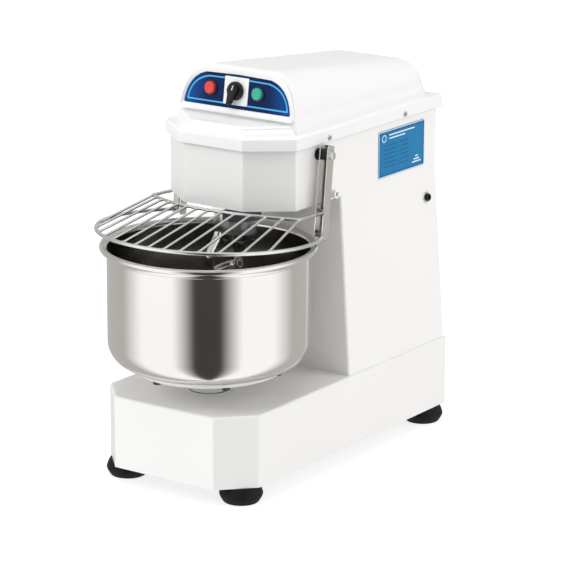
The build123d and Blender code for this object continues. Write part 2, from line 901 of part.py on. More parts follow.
with BuildPart() as spindle_sprocket:
    add(add_sprocket(spindle_teeth, hook_y, upper_chain_z))
    with BuildSketch(Plane.XY.offset(upper_chain_z - 8)):
        with Locations((0, hook_y)):
            Circle(26)
    extrude(amount=16)
    with BuildSketch(Plane.XY.offset(upper_chain_z - 20)):
        with Locations((0, hook_y)):
            Circle(spindle_radius)
    extrude(amount=40, mode=Mode.SUBTRACT)
save(spindle_sprocket.part, "spindle_sprocket")

belt_half_width = 5.0
belt_half_depth = 3.5
pulley_data = (
    ("spindle_pulley", hook_y, spindle_pulley_pitch, spindle_radius),
    ("motor_pulley", motor_y, motor_pulley_pitch, 12.0),
)
pulley_low = belt_levels[0] - 10
pulley_height = belt_levels[1] - belt_levels[0] + 20
for name, pulley_y, pitch_radius, bore_radius in pulley_data:
    with BuildPart() as pulley:
        with BuildSketch(Plane.XY.offset(pulley_low)):
            with Locations((0, pulley_y)):
                Circle(pitch_radius + belt_half_depth + 1)
                Circle(bore_radius, mode=Mode.SUBTRACT)
        extrude(amount=pulley_height)
        for level in belt_levels:
            with BuildSketch(Plane.XY.offset(level - belt_half_width - 0.8)):
                with Locations((0, pulley_y)):
                    Circle(pitch_radius + belt_half_depth + 2)
                    Circle(pitch_radius - belt_half_depth - 1, mode=Mode.SUBTRACT)
            extrude(amount=2 * belt_half_width + 1.6, mode=Mode.SUBTRACT)
    save(pulley.part, name)

with BuildPart() as drive_belts:
    for level in belt_levels:
        low = level - belt_half_width
        for reach, mode in ((belt_half_depth, Mode.ADD), (-belt_half_depth, Mode.SUBTRACT)):
            extrude(
                loop_sketch(
                    low,
                    hook_y,
                    spindle_pulley_pitch + reach,
                    motor_y,
                    motor_pulley_pitch + reach,
                ),
                amount=2 * belt_half_width,
                mode=mode,
            )
save(drive_belts.part, "drive_belts")

chain_data = (
    ("upper_chain", upper_chain_z, hook_y, spindle_teeth, layshaft_y, layshaft_upper_teeth),
    ("lower_chain", lower_chain_z, bowl_y, bowl_teeth, layshaft_y, layshaft_lower_teeth),
)
for name, level, first_y, first_teeth, second_y, second_teeth in chain_data:
    with BuildPart() as chain:
        for reach, mode in ((12.0, Mode.ADD), (4.2, Mode.SUBTRACT)):
            extrude(
                loop_sketch(
                    level - 5,
                    first_y,
                    sprocket_radius(first_teeth) + reach,
                    second_y,
                    sprocket_radius(second_teeth) + reach,
                ),
                amount=10,
                mode=mode,
            )
    save(chain.part, name)

# ---- layshaft and motor -------------------------------------------------------------------------
with BuildPart() as layshaft:
    with Locations((0, layshaft_y, shaft_low)):
        Cylinder(layshaft_radius, 560, align=(Align.CENTER, Align.CENTER, Align.MIN))
save(layshaft.part, "layshaft")

with BuildPart() as layshaft_sprockets:
    for teeth, level, hub_radius in (
        (layshaft_upper_teeth, upper_chain_z, 26),
        (layshaft_lower_teeth, lower_chain_z, 18),
    ):
        add(add_sprocket(teeth, layshaft_y, level))
        with BuildSketch(Plane.XY.offset(level - 9)):
            with Locations((0, layshaft_y)):
                Circle(hub_radius)
        extrude(amount=18)
        with BuildSketch(Plane.XY.offset(level - 20)):
            with Locations((0, layshaft_y)):
                Circle(layshaft_radius)
        extrude(amount=40, mode=Mode.SUBTRACT)
save(layshaft_sprockets.part, "layshaft_sprockets")

motor_low = 322.0
motor_flange_low = 552.0
with BuildPart() as motor_body:
    with BuildSketch(Plane.XY.offset(motor_low)):
        with Locations((0, motor_y)):
            Circle(motor_radius - 6)
            with PolarLocations(motor_radius - 6, 24):
                Rectangle(12, 3)
    extrude(amount=motor_flange_low - motor_low)
    with BuildSketch(Plane.XY.offset(motor_flange_low)):
        with Locations((0, motor_y)):
            Circle(92)
    extrude(amount=drive_plate_low - motor_flange_low)
    with Locations((0, motor_y + motor_radius + 8, 452)):
        Box(80, 40, 90)
    with BuildSketch(Plane.XY.offset(drive_plate_low)):
        with Locations((0, motor_y)):
            Circle(12 + running_gap)
    extrude(amount=-60, mode=Mode.SUBTRACT)
save(motor_body.part, "motor_body")

with BuildPart() as motor_shaft:
    with Locations((0, motor_y, drive_plate_low - 58)):
        Cylinder(12, 165, align=(Align.CENTER, Align.CENTER, Align.MIN))
save(motor_shaft.part, "motor_shaft")

with BuildPart() as electrical_box:
    with Locations((-60, 310, floor_level)):
        Box(110, 80, 70, align=(Align.CENTER, Align.CENTER, Align.MIN))
    fillet(electrical_box.edges().filter_by(Axis.Z), 5)
save(electrical_box.part, "electrical_box")

with BuildPart() as cable_gland:
    with BuildSketch(gland_plane):
        RegularPolygon(13, 6)
    extrude(amount=5)
    with BuildSketch(gland_plane.offset(5)):
        Circle(10.5)
    extrude(amount=6, taper=12)
    with BuildSketch(gland_plane):
        Circle(8.1)
    extrude(amount=-12)
    with BuildSketch(gland_plane.offset(-12)):
        Circle(4)
    extrude(amount=40, mode=Mode.SUBTRACT)
save(cable_gland.part, "cable_gland")

# ---- breaker bar --------------------------------------------------------------------------------
breaker_points = [
    (0, breaker_top_y, drive_plate_high),
    (0, breaker_top_y, 500),
    (0, bowl_y + 2, 464),
    (0, bowl_y + 2, 260),
]
with BuildPart() as breaker_bar:
    with BuildLine() as breaker_line:
        FilletPolyline(*breaker_points, radius=24)
    with BuildSketch(Plane(origin=breaker_points[0], z_dir=(0, 0, -1))):
        Circle(breaker_radius)
    sweep(path=breaker_line.line)
    with BuildSketch(Plane.XY.offset(head_bottom)):
        with Locations((0, breaker_top_y)):
            RegularPolygon(15, 6)
    extrude(amount=-8)
    fillet(breaker_bar.faces().sort_by(Axis.Z)[0].edges(), 3)
save(breaker_bar.part, "breaker_bar")

# ---- bowl guard ---------------------------------------------------------------------------------
arm_lean = atan2(pivot_y - arm_foot[0], pivot_z - arm_foot[1])
arm_length = sqrt((pivot_y - arm_foot[0]) ** 2 + (pivot_z - arm_foot[1]) ** 2)
arm_head = 20.0
for name, side in (("left", -1), ("right", 1)):
    inner_face = Plane(
        origin=(side * arm_inner, pivot_y, pivot_z),
        x_dir=(0, cos(arm_lean), -sin(arm_lean)),
        z_dir=(1, 0, 0),
    )
    with BuildPart() as guard_arm:
        with BuildSketch(inner_face):
            with Locations((0, (arm_head - arm_length) / 2)):
                RectangleRounded(arm_depth, arm_length + arm_head, 5)
        extrude(amount=side * arm_width)
        with BuildSketch(inner_face.offset(side * 2)):
            with Locations((-2, (arm_head - arm_length) / 2)):
                Rectangle(arm_depth, arm_length + arm_head)
        extrude(amount=side * (arm_width - 4), mode=Mode.SUBTRACT)
        with BuildSketch(inner_face):
            Circle(pivot_radius)
        extrude(amount=side * arm_width, mode=Mode.SUBTRACT)
    save(guard_arm.part, f"guard_arm_{name}")

arm_outer = arm_inner + arm_width
pin_inner = 138.0
with BuildPart() as guard_pivot_pins:
    for side in (-1, 1):
        with BuildSketch(pin_level.offset(side * pin_inner)):
            Circle(pivot_radius)
        extrude(amount=side * (arm_outer - pin_inner))
        with BuildSketch(pin_level.offset(side * arm_outer)):
            Circle(11)
        extrude(amount=side * 1.5)
        with BuildSketch(pin_level.offset(side * (arm_outer + 1.5))):
            RegularPolygon(9.5, 6)
        extrude(amount=side * 6)
save(guard_pivot_pins.part, "guard_pivot_pins")

with BuildPart() as guard_bushes:
    for side in (-1, 1):
        with BuildSketch(pin_level.offset(side * 150)):
            Circle(10)
            Circle(pivot_radius + running_gap, mode=Mode.SUBTRACT)
        extrude(amount=side * (arm_inner - 0.4 - 150))
        with BuildSketch(pin_level.offset(side * head_half_width)):
            Circle(12)
            Circle(pivot_radius + running_gap, mode=Mode.SUBTRACT)
        extrude(amount=side * 3)
save(guard_bushes.part, "guard_bushes")

with BuildPart() as interlock_cam:
    with BuildSketch(pin_level.offset(pin_inner + 1)):
        Circle(13)
        with Locations((0, -9)):
            Rectangle(9, 13)
        Circle(pivot_radius, mode=Mode.SUBTRACT)
    extrude(amount=9)
save(interlock_cam.part, "interlock_cam")

with BuildPart() as interlock_switch:
    with Locations((143, pivot_y + 33, pivot_z)):
        Box(16, 30, 34)
    fillet(interlock_switch.edges().filter_by(Axis.X), 2)
save(interlock_switch.part, "interlock_switch")

stud_y = -9.0
stud_z = 580.0
stud_length = 13.0
stud_cap_length = 16.0
stud_planes = [
    Plane(origin=(side * head_half_width, stud_y, stud_z), z_dir=(side, 0, 0)) for side in (-1, 1)
]
with BuildPart() as guard_stop_studs:
    for stud_plane in stud_planes:
        with BuildSketch(stud_plane):
            Circle(8)
        extrude(amount=stud_length)
save(guard_stop_studs.part, "guard_stop_studs")

with BuildPart() as guard_stop_caps:
    for stud_plane in stud_planes:
        with BuildSketch(stud_plane.offset(stud_length)):
            Circle(9.2)
            Circle(4.6, mode=Mode.SUBTRACT)
        extrude(amount=stud_cap_length)
        with BuildSketch(stud_plane.offset(stud_length)):
            Circle(4.6)
        extrude(amount=stud_cap_length / 2)
    for end in (0, -1):
        fillet(guard_stop_caps.faces().sort_by(Axis.X)[end].outer_wire().edges(), 1.5)
save(guard_stop_caps.part, "guard_stop_caps")

ring_plane = Plane(origin=ring_centre, x_dir=(1, 0, 0), z_dir=(0, ring_slope, 1))
arm_middle = arm_inner + arm_width / 2
ring_end = degrees(atan2(sqrt(ring_radius**2 - arm_middle**2), arm_middle))


def ring_height(y):
    """Height of the tilted guard ring at a distance along the machine."""
    return ring_centre[2] - ring_slope * (y - ring_centre[1])


with BuildPart() as guard_ring:
    with BuildLine(ring_plane) as ring_line:
        CenterArc((0, 0), ring_radius, 180 - ring_end, 180 + 2 * ring_end)
    with BuildSketch(Plane(origin=ring_line.line @ 0, z_dir=ring_line.line % 0)):
        Circle(ring_rod)
    sweep(path=ring_line.line)
save(guard_ring.part, "guard_ring")


def rear_rod_y(x):
    """Front of the rear rod, a shallow arc that passes round the head."""
    corner_x, corner_y = rear_rod_corner
    rise = corner_y - rear_rod_middle_y
    arc_radius = (corner_x**2 + rise**2) / (2 * rise)
    return rear_rod_middle_y + arc_radius - sqrt(arc_radius**2 - x**2)


def rear_rod_height(x):
    """Height of the rear rod, whose arc leans back towards its corners."""
    share = (rear_rod_corner[1] - rear_rod_y(x)) / (rear_rod_corner[1] - rear_rod_middle_y)
    return rear_rod_z + rear_rod_rise * share


with BuildPart() as guard_rear_rod:
    corner_x, corner_y = rear_rod_corner
    side_end_y = pivot_y + (rear_rod_z - pivot_z) * tan(arm_lean) + 3
    with BuildLine() as rear_line:
        rear_arc = ThreePointArc(
            (-corner_x, corner_y, rear_rod_z),
            (0, rear_rod_middle_y, rear_rod_z + rear_rod_rise),
            (corner_x, corner_y, rear_rod_z),
        )
    with BuildSketch(Plane(origin=rear_arc @ 0, z_dir=rear_arc % 0)):
        Circle(rear_rod)
    sweep(path=rear_line.line)
    for side in (-1, 1):
        start = (side * corner_x, corner_y, rear_rod_z)
        end = (side * arm_middle, side_end_y, rear_rod_z - 4)
        add(round_rod(start, end, rear_rod))
        with Locations(start):
            Sphere(rear_rod)
save(guard_rear_rod.part, "guard_rear_rod")

with BuildPart() as guard_bars:
    for index in range(bar_pairs):
        front_x = (index + 0.5) * bar_pitch
        front_x = min(front_x, 207.0)
        rear_x = front_x * rear_rod_corner[0] / 207.0
        front_y = ring_centre[1] - sqrt(ring_radius**2 - front_x**2)
        for side in (-1, 1):
            start = (side * front_x, front_y, ring_height(front_y))
            end = (side * rear_x, rear_rod_y(rear_x), rear_rod_height(rear_x))
            add(round_rod(start, end, bar_rod))
save(guard_bars.part, "guard_bars")
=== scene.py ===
"""Looks of the spiral dough mixer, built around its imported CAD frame.

The shape functions below work in millimetres, and add_piece turns their points into metres.
"""

from math import acos, atan2, cos, pi, radians, sin, sqrt, tan

import bpy
from mathutils import Matrix, Vector
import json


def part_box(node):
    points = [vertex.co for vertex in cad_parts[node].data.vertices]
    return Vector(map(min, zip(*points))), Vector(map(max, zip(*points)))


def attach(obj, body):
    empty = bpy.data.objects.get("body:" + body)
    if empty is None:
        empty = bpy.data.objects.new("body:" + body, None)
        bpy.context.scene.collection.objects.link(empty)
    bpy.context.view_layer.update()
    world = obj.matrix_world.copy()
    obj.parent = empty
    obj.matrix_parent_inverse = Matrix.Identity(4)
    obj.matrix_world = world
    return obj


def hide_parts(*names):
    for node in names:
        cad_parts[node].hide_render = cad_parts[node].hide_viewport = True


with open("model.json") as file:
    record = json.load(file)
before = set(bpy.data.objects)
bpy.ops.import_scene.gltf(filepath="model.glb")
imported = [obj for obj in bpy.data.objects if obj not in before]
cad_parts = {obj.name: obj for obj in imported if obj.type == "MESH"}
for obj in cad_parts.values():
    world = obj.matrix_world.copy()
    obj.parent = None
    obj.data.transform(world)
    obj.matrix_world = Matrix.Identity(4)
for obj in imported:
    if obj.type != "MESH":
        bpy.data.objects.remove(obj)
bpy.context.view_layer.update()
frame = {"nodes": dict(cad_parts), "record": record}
nodes = frame["nodes"]
record = frame["record"]
joints = {joint["name"]: joint for joint in record["behaviour"]["joints"]}


# ---- camera and light ---------------------------------------------------------------------------
def add_camera():
    """Long lens, a little above the head and to the right of the front."""
    heading, dip, lean = radians(34.9), radians(15.47), radians(0.26)
    forward = Vector((-sin(heading) * cos(dip), cos(heading) * cos(dip), -sin(dip)))
    level_right = Vector((cos(heading), sin(heading), 0))
    level_up = level_right.cross(forward)
    right = level_right * cos(lean) + level_up * sin(lean)
    up = level_up * cos(lean) - level_right * sin(lean)
    data = bpy.data.cameras.new("camera")
    data.lens = 187.8
    data.sensor_width = 36
    data.clip_end = 60
    camera = bpy.data.objects.new("camera", data)
    bpy.context.scene.collection.objects.link(camera)
    matrix = Matrix((right, up, -forward)).transposed().to_4x4()
    matrix.translation = (3.4647, -4.8777, 2.0072)
    camera.matrix_world = matrix
    bpy.context.scene.camera = camera


def add_world():
    """Studio surround: white to look at, with lit screens and dark gaps round it for reflections."""
    world = bpy.data.worlds.new("studio")
    bpy.context.scene.world = world
    world.use_nodes = True
    tree = world.node_tree
    tree.nodes.clear()
    new, link = tree.nodes.new, tree.links.new
    direction = new("ShaderNodeTexCoord")
    split = new("ShaderNodeSeparateXYZ")
    link(direction.outputs["Generated"], split.inputs[0])
    forward = new("ShaderNodeMath")
    forward.operation = "MULTIPLY"
    forward.inputs[1].default_value = -1
    link(split.outputs["Y"], forward.inputs[0])
    heading = new("ShaderNodeMath")
    heading.operation = "ARCTAN2"
    link(split.outputs["X"], heading.inputs[0])
    link(forward.outputs[0], heading.inputs[1])
    turn = new("ShaderNodeMapRange")
    turn.inputs["From Min"].default_value = -pi
    turn.inputs["From Max"].default_value = pi
    link(heading.outputs[0], turn.inputs["Value"])
    screens = new("ShaderNodeValToRGB")
    facing = 35  # side the machine is seen from, in degrees from the front towards +X
    room = 0.45
    around = (  # degrees off that side, and brightness: the same on both sides
        (15, 0.05),  # unlit behind the viewer
        (40, 1.0),  # white screen, near edge
        (80, 1.0),  # white screen, far edge
        (110, room),
    )

    def shade(stop, level):
        stop.color = (level, level * (0.97 + 0.03 * level), level * (0.91 + 0.09 * level), 1)

    ramp = screens.color_ramp
    for end in ramp.elements:
        shade(end, room)
    for side in (-1, 1):
        for offset, level in around:
            shade(ramp.elements.new((180 + facing + side * offset) / 360), level)
    link(turn.outputs[0], screens.inputs[0])
    rise = new("ShaderNodeMapRange")
    rise.inputs["From Min"].default_value = 0.5
    rise.inputs["From Max"].default_value = 0.85
    link(split.outputs["Z"], rise.inputs["Value"])
    roof = new("ShaderNodeMix")
    roof.data_type = "RGBA"
    roof.inputs["B"].default_value = (0.66, 0.66, 0.67, 1)
    link(rise.outputs[0], roof.inputs["Factor"])
    link(screens.outputs[0], roof.inputs["A"])
    surround = new("ShaderNodeBackground")
    surround.inputs["Strength"].default_value = 1.2
    link(roof.outputs["Result"], surround.inputs["Color"])
    plain = new("ShaderNodeBackground")
    plain.inputs["Color"].default_value = (1, 1, 1, 1)
    seen = new("ShaderNodeLightPath")
    choose = new("ShaderNodeMixShader")
    link(seen.outputs["Is Camera Ray"], choose.inputs[0])
    link(surround.outputs[0], choose.inputs[1])
    link(plain.outputs[0], choose.inputs[2])
    output = new("ShaderNodeOutputWorld")
    link(choose.outputs[0], output.inputs[0])


def add_soft_box(name, azimuth, rise, distance, size, power, colour=(1, 1, 1)):
    """Square soft box aimed at the machine; azimuth is measured from the front towards +X."""
    aim = Vector((0, 0, 0.45))
    around, up = radians(azimuth), radians(rise)
    away = Vector((sin(around) * cos(up), -cos(around) * cos(up), sin(up)))
    data = bpy.data.lights.new(name, "AREA")
    data.size = size
    data.energy = power
    data.color = colour
    light = bpy.data.objects.new(name, data)
    bpy.context.scene.collection.objects.link(light)
    light.location = aim + away * distance
    light.rotation_euler = away.to_track_quat("Z", "Y").to_euler()
    light.visible_glossy = False
    light.visible_camera = False


def add_floor():
    """Plain pale floor that glows a little, so that its shadows stay faint."""
    mesh = bpy.data.meshes.new("floor")
    reach = 14.0
    corners = [(-reach, -reach, 0), (reach, -reach, 0), (reach, reach, 0), (-reach, reach, 0)]
    mesh.from_pydata(corners, [], [(0, 1, 2, 3)])
    floor = bpy.data.objects.new("floor", mesh)
    bpy.context.scene.collection.objects.link(floor)
    material = bpy.data.materials.new("floor")
    material.use_nodes = True
    shader = material.node_tree.nodes["Principled BSDF"]
    shader.inputs["Base Color"].default_value = (0.30, 0.30, 0.30, 1)
    shader.inputs["Roughness"].default_value = 1.0
    shader.inputs["Specular IOR Level"].default_value = 0.0
    shader.inputs["Emission Color"].default_value = (1, 1, 1, 1)
    shader.inputs["Emission Strength"].default_value = 0.80
    mesh.materials.append(material)
    floor.visible_glossy = False


add_camera()
add_world()
add_soft_box("key", -42, 30, 4.5, 1.6, 58)
add_soft_box("side", 118, 28, 4.5, 1.6, 42, (1, 0.97, 0.93))
add_soft_box("overhead", 10, 80, 4.0, 2.4, 46)
add_floor()
bpy.context.scene.view_settings.view_transform = "Standard"


# ---- materials ----------------------------------------------------------------------------------
class Look:
    """A material under construction: a Principled shader and object coordinates."""

    def __init__(self, name, colour, metallic=0.0, roughness=0.4, coat=0.0, specular=0.5):
        self.material = bpy.data.materials.new(name)
        self.material.use_nodes = True
        self.tree = self.material.node_tree
        self.shader = self.tree.nodes["Principled BSDF"]
        self.colour = colour
        self.roughness = roughness
        self.shader.inputs["Base Color"].default_value = (*colour, 1)
        self.shader.inputs["Metallic"].default_value = metallic
        self.shader.inputs["Roughness"].default_value = roughness
        self.shader.inputs["Coat Weight"].default_value = coat
        self.shader.inputs["Coat Roughness"].default_value = 0.08
        self.shader.inputs["Specular IOR Level"].default_value = specular
        self.place = self.add("ShaderNodeTexCoord").outputs["Object"]
        self.bumps = None

    def add(self, kind):
        return self.tree.nodes.new(kind)

    def link(self, source, target):
        self.tree.links.new(source, target)

    def noise(self, scale, detail=3.0, stretch=(1, 1, 1)):
        """Noise over the object, scale in cells per metre, stretched along the axes."""
        mapping = self.add("ShaderNodeMapping")
        mapping.inputs["Scale"].default_value = stretch
        self.link(self.place, mapping.inputs["Vector"])
        noise = self.add("ShaderNodeTexNoise")
        noise.inputs["Scale"].default_value = scale
        noise.inputs["Detail"].default_value = detail
        self.link(mapping.outputs[0], noise.inputs["Vector"])
        return noise.outputs["Fac"]

    def ranged(self, value, low, high, from_low=0.2, from_high=0.8):
        """Map a value from one span to another."""
        span = self.add("ShaderNodeMapRange")
        span.inputs["From Min"].default_value = from_low
        span.inputs["From Max"].default_value = from_high
        span.inputs["To Min"].default_value = low
        span.inputs["To Max"].default_value = high
        self.link(value, span.inputs["Value"])
        return span.outputs[0]

    def tint(self, factor, other):
        """Blend the base colour towards another one."""
        mix = self.add("ShaderNodeMix")
        mix.data_type = "RGBA"
        socket = self.shader.inputs["Base Color"]
        if socket.links:
            self.link(socket.links[0].from_socket, mix.inputs["A"])
        else:
            mix.inputs["A"].default_value = (*self.colour, 1)
        mix.inputs["B"].default_value = (*other, 1)
        self.link(factor, mix.inputs["Factor"])
        self.link(mix.outputs["Result"], socket)
        return self

    def rough(self, value, spread):
        """Let the roughness wander by a spread either way."""
        low, high = self.roughness - spread, self.roughness + spread
        self.link(self.ranged(value, low, high), self.shader.inputs["Roughness"])
        return self

    def bump(self, value, depth, strength=1.0):
        """Raise the surface by a depth in millimetres where the value is high."""
        bump = self.add("ShaderNodeBump")
        bump.inputs["Strength"].default_value = strength
        bump.inputs["Distance"].default_value = depth / 1000
        self.link(value, bump.inputs["Height"])
        if self.bumps:
            self.link(self.bumps, bump.inputs["Normal"])
        self.bumps = bump.outputs[0]
        self.link(self.bumps, self.shader.inputs["Normal"])
        return self


def enamel(name, colour, dust, roughness, peel=0.05, coat=0.35):
    """Gloss paint or moulding: orange peel, faint clouding and handling dulness."""
    look = Look(name, colour, 0, roughness, coat)
    look.tint(look.ranged(look.noise(5, 0), 0, 0.5), dust)
    look.rough(look.noise(11, 0), 0.02)
    look.bump(look.noise(300, 0), peel)
    return look.material


def moulded(name, colour, lighter, roughness, grain=0.04, scale=1500, coat=0.0, specular=0.5):
    """Moulded plastic or rubber with a fine skin texture."""
    look = Look(name, colour, 0, roughness, coat, specular)
    look.tint(look.ranged(look.noise(60, 4), 0, 0.6), lighter)
    look.rough(look.noise(90, 3), 0.07)
    look.bump(look.noise(scale, 2), grain)
    return look.material


def metal(name, colour, stain, roughness, scratches=(1, 1, 1), depth=0.01, metallic=1.0):
    """Bare or plated metal with directional scratches and faint staining."""
    look = Look(name, colour, metallic, roughness)
    look.tint(look.ranged(look.noise(35, 5), 0, 0.5), stain)
    look.rough(look.noise(260, 3, scratches), 0.06)
    look.bump(look.noise(900, 2, scratches), depth)
    return look.material


def cast(name, colour, stain, roughness, metallic=0.4):
    """Painted or bare casting with a sandy skin."""
    look = Look(name, colour, metallic, roughness)
    look.tint(look.ranged(look.noise(45, 5), 0, 0.7), stain)
    look.rough(look.noise(120, 3), 0.08)
    look.bump(look.noise(650, 4), 0.35)
    return look.material


def spun_steel(name, colour, stain, roughness):
    """Stainless sheet spun into a bowl: faint rings round it under a near-mirror polish."""
    look = Look(name, colour, 1.0, roughness)
    look.tint(look.ranged(look.noise(9, 4), 0, 0.4), stain)
    look.rough(look.noise(30, 4, (1, 1, 18)), 0.035)
    look.bump(look.noise(60, 2, (0.25, 0.25, 30)), 0.012)
    return look.material


def panel_blue():
    """Printed fascia film: navy in the middle, brighter blue towards its edge."""
    look = Look("blue_panel", (0.003, 0.016, 0.085), 0, 0.42, 0.0, 0.12)
    split = look.add("ShaderNodeSeparateXYZ")
    look.link(look.place, split.inputs[0])
    across = look.add("ShaderNodeMath")
    across.operation = "ABSOLUTE"
    look.link(split.outputs["X"], across.inputs[0])
    side = look.ranged(across.outputs[0], 0, 1, 0.075, 0.130)
    look.tint(side, (0.006, 0.075, 0.310))
    look.bump(look.noise(1100, 2), 0.02)
    return look.material


looks = {
    "white_paint": enamel("white_paint", (0.84, 0.835, 0.825), (0.82, 0.815, 0.80), 0.30, 0.02),
    "white_plastic": enamel("white_plastic", (0.835, 0.835, 0.84), (0.82, 0.82, 0.82), 0.30, 0.006, 0.1),
    "frame_steel": metal("frame_steel", (0.50, 0.50, 0.51), (0.38, 0.37, 0.36), 0.36, (1, 1, 12)),
    "zinc_steel": metal("zinc_steel", (0.68, 0.69, 0.70), (0.55, 0.55, 0.53), 0.32),
    "dark_steel": metal("dark_steel", (0.10, 0.10, 0.105), (0.05, 0.045, 0.04), 0.42),
    "stainless": spun_steel("stainless", (0.80, 0.785, 0.765), (0.74, 0.72, 0.69), 0.13),
    "cast_iron": cast("cast_iron", (0.16, 0.17, 0.18), (0.11, 0.11, 0.12), 0.55),
    "foot_rubber": moulded(
        "foot_rubber", (0.006, 0.006, 0.007), (0.014, 0.014, 0.014), 0.62, 0.12, 700, 0, 0.2
    ),
    "belt_rubber": moulded("belt_rubber", (0.02, 0.02, 0.02), (0.045, 0.045, 0.045), 0.7, 0.1, 900),
    "black_plastic": moulded(
        "black_plastic", (0.006, 0.006, 0.007), (0.014, 0.014, 0.015), 0.36, specular=0.3
    ),
    "button_trim": moulded("button_trim", (0.02, 0.02, 0.024), (0.04, 0.04, 0.044), 0.3),
    "red_plastic": moulded("red_plastic", (0.72, 0.035, 0.03), (0.62, 0.03, 0.025), 0.3, 0.02, 1500, 0.3),
    "green_plastic": moulded(
        "green_plastic", (0.012, 0.40, 0.28), (0.012, 0.33, 0.23), 0.3, 0.02, 1500, 0.3
    ),
    "blue_panel": panel_blue(),
    "blue_label": moulded("blue_label", (0.002, 0.17, 0.39), (0.003, 0.19, 0.42), 0.4, 0.01, 900, 0, 0.25),
    "motor_aluminium": cast("motor_aluminium", (0.38, 0.40, 0.42), (0.30, 0.31, 0.33), 0.45, 0.8),
}
guard_wire = metal("guard_wire", (0.80, 0.80, 0.80), (0.70, 0.70, 0.69), 0.22)
# Darker copy of the bowl's steel for its inner face: painted shade, as the real inside is the same
# stainless as the outside.
bowl_inside_painted_shade = spun_steel("bowl_inside_painted_shade", (0.34, 0.33, 0.31), (0.27, 0.26, 0.24), 0.24)
label_line = moulded("label_line", (0.003, 0.06, 0.17), (0.004, 0.075, 0.20), 0.35, 0.01)
cyan_print = moulded("cyan_print", (0.05, 0.42, 0.72), (0.06, 0.46, 0.76), 0.3, 0.01)
white_print = moulded("white_print", (0.75, 0.84, 0.90), (0.70, 0.80, 0.87), 0.35, 0.01)
socket_black = moulded("socket_black", (0.006, 0.006, 0.006), (0.012, 0.012, 0.012), 0.6)

slot_of = {row["node"]: row["material_slot"] for row in record["subparts"]}
for name, node in nodes.items():
    node.data.materials.clear()
    node.data.materials.append(looks[slot_of[name]])


# ---- shape functions, in millimetres ------------------------------------------------------------
def box_mm(node):
    """Lowest and highest corner of a CAD node."""
    low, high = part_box(node)
    return Vector(low) * 1000, Vector(high) * 1000


class Shape:
    """Points and faces gathered before they become one mesh."""

    def __init__(self):
        self.points = []
        self.faces = []

    def skin(self, rings, caps=(True, True), around=True):
        """Join equally long rings of points with quads, and close the ends with flat caps."""
        first = len(self.points)
        count = len(rings[0])
        for ring in rings:
            self.points.extend(ring)
        for row in range(len(rings) - 1):
            for column in range(count if around else count - 1):
                after = (column + 1) % count
                low, high = first + row * count, first + (row + 1) * count
                self.faces.append((low + column, low + after, high + after, high + column))
        if caps[0]:
            self.faces.append(tuple(first + column for column in reversed(range(count))))
        if caps[1]:
            last = first + (len(rings) - 1) * count
            self.faces.append(tuple(last + column for column in range(count)))
        return self


def add_piece(name, shape, body, slot, *replaced, look=None, crease=32):
    """Turn a shape into an object that rides on a body and stands for CAD nodes."""
    mesh = bpy.data.meshes.new(name)
    mesh.from_pydata([tuple(point / 1000) for point in shape.points], [], shape.faces)
    mesh.validate()
    mesh.shade_smooth()
    mesh.set_sharp_from_angle(angle=radians(crease))
    mesh.materials.append(look or looks[slot])
    piece = bpy.data.objects.new(name, mesh)
    bpy.context.scene.collection.objects.link(piece)
    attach(piece, body)
    if replaced:
        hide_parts(*replaced)
    return piece


def arc(centre, radius, start, end, steps):
    """Points on a flat arc, angles in degrees."""
    cx, cy = centre
    turns = [radians(start + (end - start) * step / steps) for step in range(steps + 1)]
    return [(cx + radius * cos(turn), cy + radius * sin(turn)) for turn in turns]


def square_axes(direction):
    """Two unit vectors square to a direction and to each other."""
    direction = Vector(direction).normalized()
    helper = Vector((0, 0, 1)) if abs(direction.z) < 0.9 else Vector((1, 0, 0))
    across = helper.cross(direction).normalized()
    return across, direction.cross(across)


def circle(centre, across, up, radius, steps):
    turns = [2 * pi * step / steps for step in range(steps)]
    return [centre + across * radius * cos(turn) + up * radius * sin(turn) for turn in turns]


def lathe(shape, profile, centre, axis=(0, 0, 1), steps=64, caps=(True, True)):
    """Turn a profile of (radius, height) pairs about an axis."""
    across, up = square_axes(axis)
    along = Vector(axis).normalized()
    rings = [
        circle(Vector(centre) + along * height, across, up, radius, steps)
        for radius, height in profile
    ]
    return shape.skin(rings, caps)


def dome_end(radius, outward):
    """Radius and reach of the rings that round off a bar's end."""
    steps = [radians(angle) for angle in (18, 42, 66, 84)]
    rings = [(radius * cos(step), 0.6 * radius * sin(step)) for step in steps]
    return rings if outward else rings[::-1]


def tube(shape, path, radius, steps=24):
    """Round bar along a path, its ends a little domed."""
    path = [Vector(point) for point in path]
    ways = [(after - before).normalized() for before, after in zip(path, path[1:])]
    tangents = [ways[0]]
    tangents += [(a + b).normalized() for a, b in zip(ways, ways[1:])]
    tangents += [ways[-1]]
    across, _ = square_axes(tangents[0])
    rings = []
    for point, tangent in zip(path, tangents):
        across = (across - tangent * across.dot(tangent)).normalized()
        rings.append(circle(point, across, tangent.cross(across), radius, steps))
        if len(rings) == 1:
            start_across = across
    up = tangents[0].cross(start_across)
    head = [
        circle(path[0] - tangents[0] * reach, start_across, up, size, steps)
        for size, reach in dome_end(radius, False)
    ]
    up = tangents[-1].cross(across)
    tail = [
        circle(path[-1] + tangents[-1] * reach, across, up, size, steps)
        for size, reach in dome_end(radius, True)
    ]
    return shape.skin(head + rings + tail)


def inset(outline, amount):
    """Move a closed anticlockwise outline inwards."""
    moved = []
    count = len(outline)
    for index in range(count):
        before, here, after = (Vector(outline[(index + k) % count]) for k in (-1, 0, 1))
        way_in, way_out = (here - before).normalized(), (after - here).normalized()
        normal = Vector((-way_in.y - way_out.y, way_in.x + way_out.x))
        normal.normalize()
        spread = max(0.3, normal.dot(Vector((-way_in.y, way_in.x))))
        moved.append(tuple(here + normal * amount / spread))
    return moved


